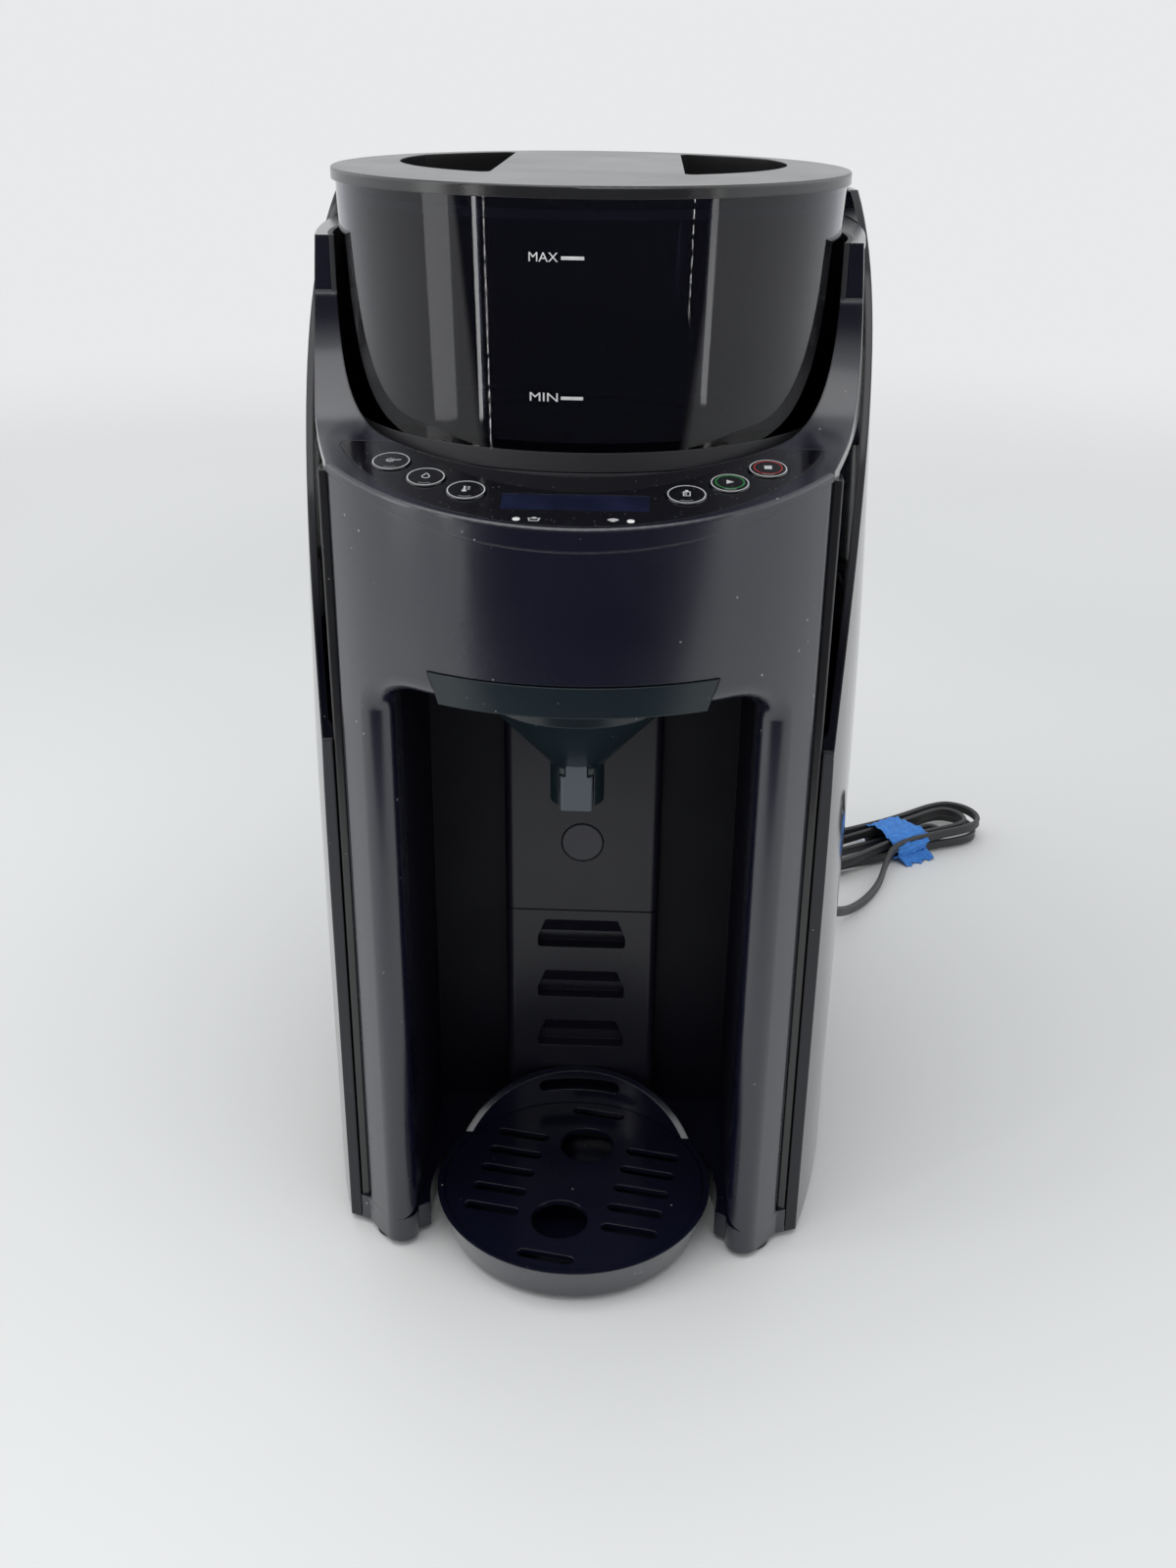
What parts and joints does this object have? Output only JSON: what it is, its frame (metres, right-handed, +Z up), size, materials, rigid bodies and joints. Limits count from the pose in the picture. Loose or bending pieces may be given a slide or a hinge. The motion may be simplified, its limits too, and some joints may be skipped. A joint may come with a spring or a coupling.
{
  "type": "baby formula maker",
  "caption": "Countertop formula maker with lift-off powder container, sloped push-button panel, funnel over a bottle bay, height-set drip tray and rear water tank.",
  "frame": {"origin": "on the floor under the middle of the machine's outline", "axes": "+Z up, -Y out of the front face, +X to the right seen from the front"},
  "size_m": [0.3766, 0.4699, 0.428],
  "materials": {
    "satin_black": "satin",
    "gloss_black": "polished",
    "lid_grey": "fine matte",
    "bay_black": "matte",
    "column_grey": "satin",
    "smoke_clear": "clear smoked",
    "tank_clear": "clear smoked",
    "panel_gloss": "polished",
    "lcd": "dark display",
    "lamp_white": "diffuse lens",
    "sensor_lens": "satin",
    "funnel_smoke": "polished",
    "nozzle_grey": "satin",
    "inner_plastic": "moulded",
    "inner_white": "moulded",
    "rubber": "matte",
    "seal_grey": "silicone",
    "hose_clear": "silicone",
    "screw_steel": "zinc",
    "drive_steel": "machined",
    "motor_metal": "satin",
    "heater_metal": "cast",
    "board_green": "solder mask",
    "cord_grey": "satin vinyl",
    "tape_blue": "crepe tape"
  },
  "bodies": {
    "chassis": {"base": "satin_black", "rubber_feet": "rubber", "base_screws": "screw_steel", "front_housing": "satin_black", "side_frame_left": "lid_grey", "side_frame_right": "lid_grey", "bay_liner": "bay_black", "column_lower": "column_grey", "column_upper": "column_grey", "sensor_window": "sensor_lens", "sensor_board": "board_green", "side_shell_left": "gloss_black", "side_shell_right": "gloss_black", "rear_housing": "gloss_black", "control_bezel": "satin_black", "control_fascia": "panel_gloss", "display": "lcd", "status_lamps": "lamp_white", "control_board": "board_green", "container_well": "inner_plastic", "shoulder_cover": "satin_black", "gear_bracket": "inner_plastic", "wheel_motor": "motor_metal", "powder_chute": "inner_plastic", "spray_head": "inner_white", "tank_shelf": "inner_plastic", "water_pump": "inner_plastic", "water_heater": "heater_metal", "suction_hose": "hose_clear", "pressure_hose": "hose_clear", "hot_water_hose": "hose_clear", "power_board": "board_green", "cord_gland": "rubber", "power_cord": "cord_grey", "cord_hank": "cord_grey", "cord_tie": "tape_blue", "cord_plug": "cord_grey"},
    "container": {"powder_container": "smoke_clear", "container_base": "inner_plastic"},
    "wheel": {"dosing_wheel": "inner_white", "stirring_paddle": "inner_plastic"},
    "container_lid": {"lid": "lid_grey", "lid_gasket": "seal_grey"},
    "drive": {"drive_gear": "inner_white", "drive_shaft": "drive_steel"},
    "pinion": {"motor_pinion": "drive_steel"},
    "funnel": {"funnel_drawer": "funnel_smoke", "mixing_funnel": "funnel_smoke", "spout_nozzle": "nozzle_grey"},
    "tank": {"water_tank": "tank_clear"},
    "tank_cover": {"tank_lid": "gloss_black"},
    "valve": {"tank_valve": "inner_white"},
    "tray": {"drip_tray": "satin_black"},
    "grate": {"tray_grate": "satin_black"},
    "powder_button": {"button_powder": "panel_gloss"},
    "water_button": {"button_water": "panel_gloss"},
    "heat_button": {"button_heat": "panel_gloss"},
    "volume_button": {"button_volume": "panel_gloss"},
    "start_button": {"button_start": "panel_gloss"},
    "stop_button": {"button_stop": "panel_gloss"}
  },
  "joints": [
    {"name": "container_lift", "type": "slide", "parent": "chassis", "child": "container", "axis": [0, 0, 1], "range_m": [0, 0.12]},
    {"name": "lid_lift", "type": "slide", "parent": "container", "child": "container_lid", "axis": [0, 0, 1], "range_m": [0, 0.1]},
    {"name": "drive_turn", "type": "hinge", "parent": "chassis", "child": "drive", "pos_m": [0, -0.032, 0.326], "axis": [0, 0, 1], "continuous": true},
    {"name": "wheel_turn", "type": "hinge", "parent": "container", "child": "wheel", "pos_m": [0, -0.032, 0.34], "axis": [0, 0, 1], "continuous": true},
    {"name": "pinion_turn", "type": "hinge", "parent": "chassis", "child": "pinion", "pos_m": [0, 0.00735, 0.326], "axis": [0, 0, 1], "continuous": true},
    {"name": "funnel_slide", "type": "slide", "parent": "chassis", "child": "funnel", "axis": [0, -1, 0], "range_m": [0, 0.11]},
    {"name": "tank_lift", "type": "slide", "parent": "chassis", "child": "tank", "axis": [0, 0, 1], "range_m": [0, 0.18]},
    {"name": "tank_cover_hinge", "type": "hinge", "parent": "tank", "child": "tank_cover", "pos_m": [0, 0.079, 0.4098], "axis": [1, 0, 0], "range_deg": [0, 95]},
    {"name": "valve_lift", "type": "slide", "parent": "tank", "child": "valve", "axis": [0, 0, 1], "range_m": [0, 0.003], "stiffness_N_per_m": 120},
    {"name": "tray_slide", "type": "slide", "parent": "chassis", "child": "tray", "axis": [0, -1, 0], "range_m": [0, 0.09]},
    {"name": "grate_lift", "type": "slide", "parent": "tray", "child": "grate", "axis": [0, 0, 1], "range_m": [0, 0.06]},
    {"name": "powder_press", "type": "slide", "parent": "chassis", "child": "powder_button", "axis": [0, 0.2079, -0.9781], "range_m": [0, 0.0008], "stiffness_N_per_m": 600},
    {"name": "water_press", "type": "slide", "parent": "chassis", "child": "water_button", "axis": [0, 0.2079, -0.9781], "range_m": [0, 0.0008], "stiffness_N_per_m": 600},
    {"name": "heat_press", "type": "slide", "parent": "chassis", "child": "heat_button", "axis": [0, 0.2079, -0.9781], "range_m": [0, 0.0008], "stiffness_N_per_m": 600},
    {"name": "volume_press", "type": "slide", "parent": "chassis", "child": "volume_button", "axis": [0, 0.2079, -0.9781], "range_m": [0, 0.0008], "stiffness_N_per_m": 600},
    {"name": "start_press", "type": "slide", "parent": "chassis", "child": "start_button", "axis": [0, 0.2079, -0.9781], "range_m": [0, 0.0008], "stiffness_N_per_m": 600},
    {"name": "stop_press", "type": "slide", "parent": "chassis", "child": "stop_button", "axis": [0, 0.2079, -0.9781], "range_m": [0, 0.0008], "stiffness_N_per_m": 600}
  ],
  "couplings": [
    {"joint": "wheel_turn", "follows": "drive_turn", "ratio": 1},
    {"joint": "pinion_turn", "follows": "drive_turn", "ratio": -3.3333}
  ]
}
